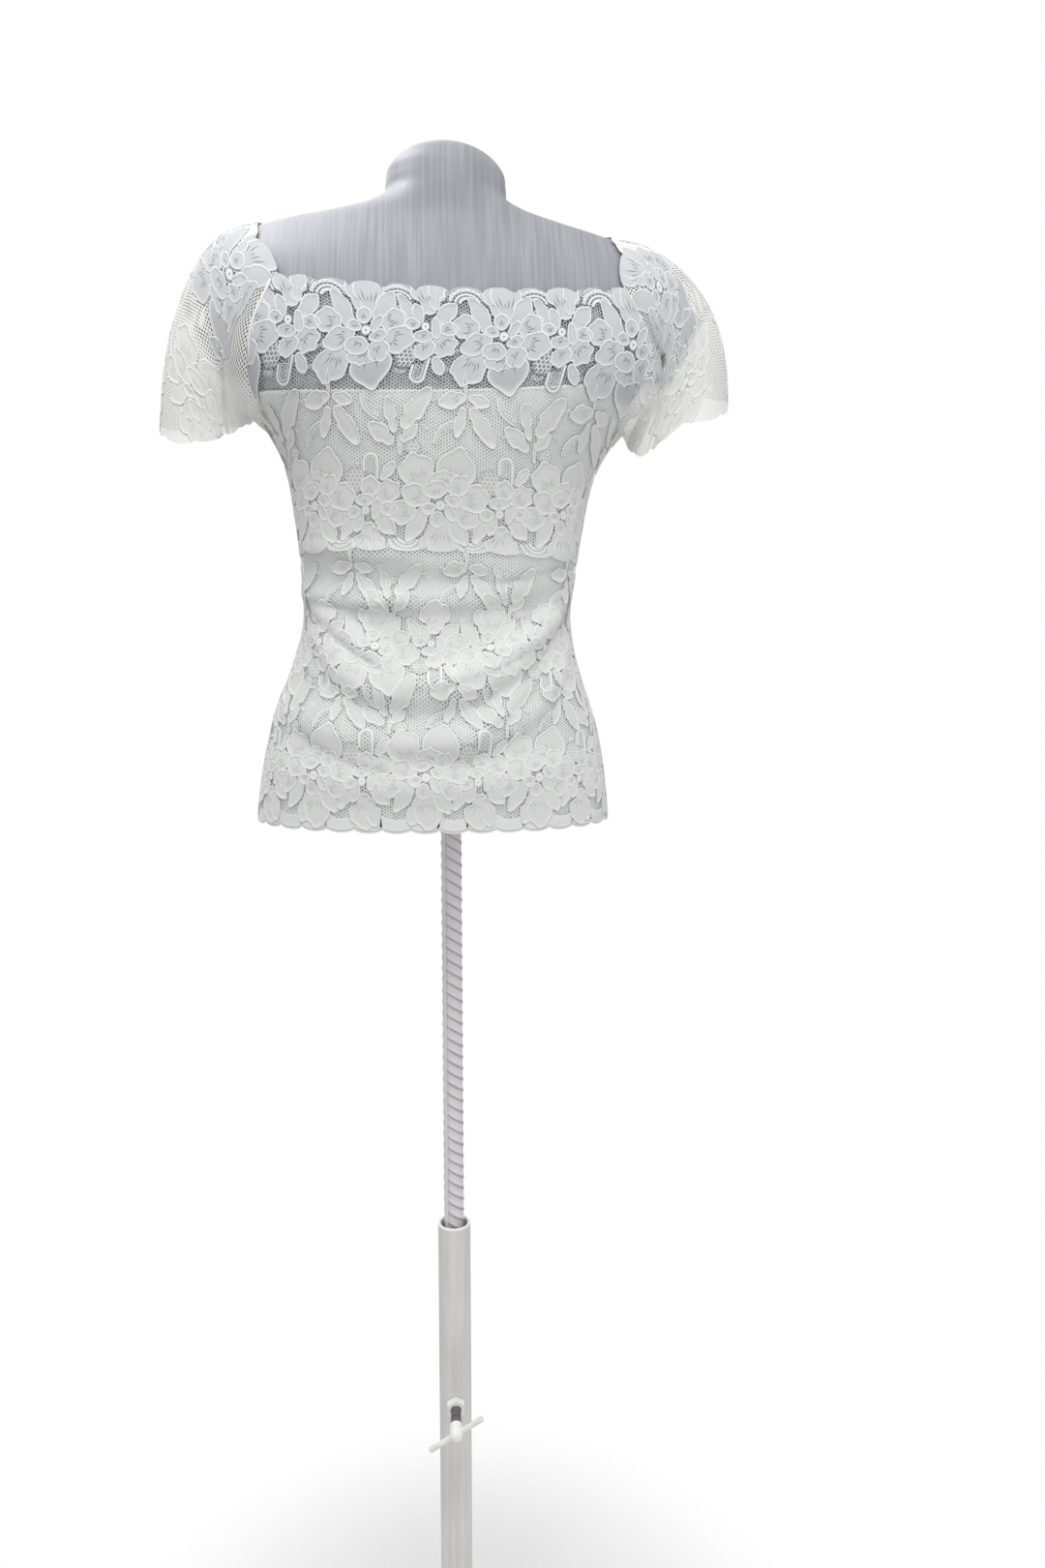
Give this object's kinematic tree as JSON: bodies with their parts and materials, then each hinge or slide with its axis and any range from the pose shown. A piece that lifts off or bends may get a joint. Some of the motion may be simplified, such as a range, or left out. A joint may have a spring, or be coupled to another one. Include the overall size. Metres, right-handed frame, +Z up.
{
  "type": "lace top on a limbless dress form with stand",
  "caption": "White lace off-the-shoulder short-sleeved top, lined below a sheer yoke, on a silver limbless dress form that slides on a clamped rod stand",
  "frame": {"origin": "on the floor, under the axis of the stand's tube, in the middle of the base plate", "axes": "+Z up along the tube; -Y towards the garment's back and the clamp screw, +Y towards its front; -X towards its left sleeve as seen from behind"},
  "size_m": [0.5215, 0.32, 1.582],
  "materials": {
    "white_lace": "matt white floral stretch lace on fine net, raised motif outlines",
    "white_lining": "smooth opaque white knit with a folded top band",
    "silver_form": "satin silver paint with a soft upright brushed sheen",
    "ribbed_steel": "dull grey ribbed steel bar",
    "stand_paint": "satin pale grey paint",
    "zinc": "bright zinc plating"
  },
  "bodies": {
    "stand": {"base_plate": "stand_paint", "stand_tube": "stand_paint", "clamp_nut": "zinc"},
    "lifted": {"support_rod": "ribbed_steel", "dress_form": "silver_form", "back_upper_lace": "white_lace", "back_lower_lace": "white_lace", "front_upper_lace": "white_lace", "front_lower_lace": "white_lace", "sleeve_left": "white_lace", "sleeve_right": "white_lace", "back_lining": "white_lining", "front_lining": "white_lining"},
    "screw": {"clamp_screw": "zinc", "clamp_bar": "zinc"}
  },
  "joints": [
    {"name": "height_slide", "type": "slide", "parent": "stand", "child": "lifted", "axis": [0, 0, 1], "range_m": [-0.12, 0.2]},
    {"name": "clamp_turn", "type": "hinge", "parent": "stand", "child": "screw", "pos_m": [0, -0.02, 0.372], "axis": [0, -1, 0], "range_deg": [0, 360]}
  ]
}
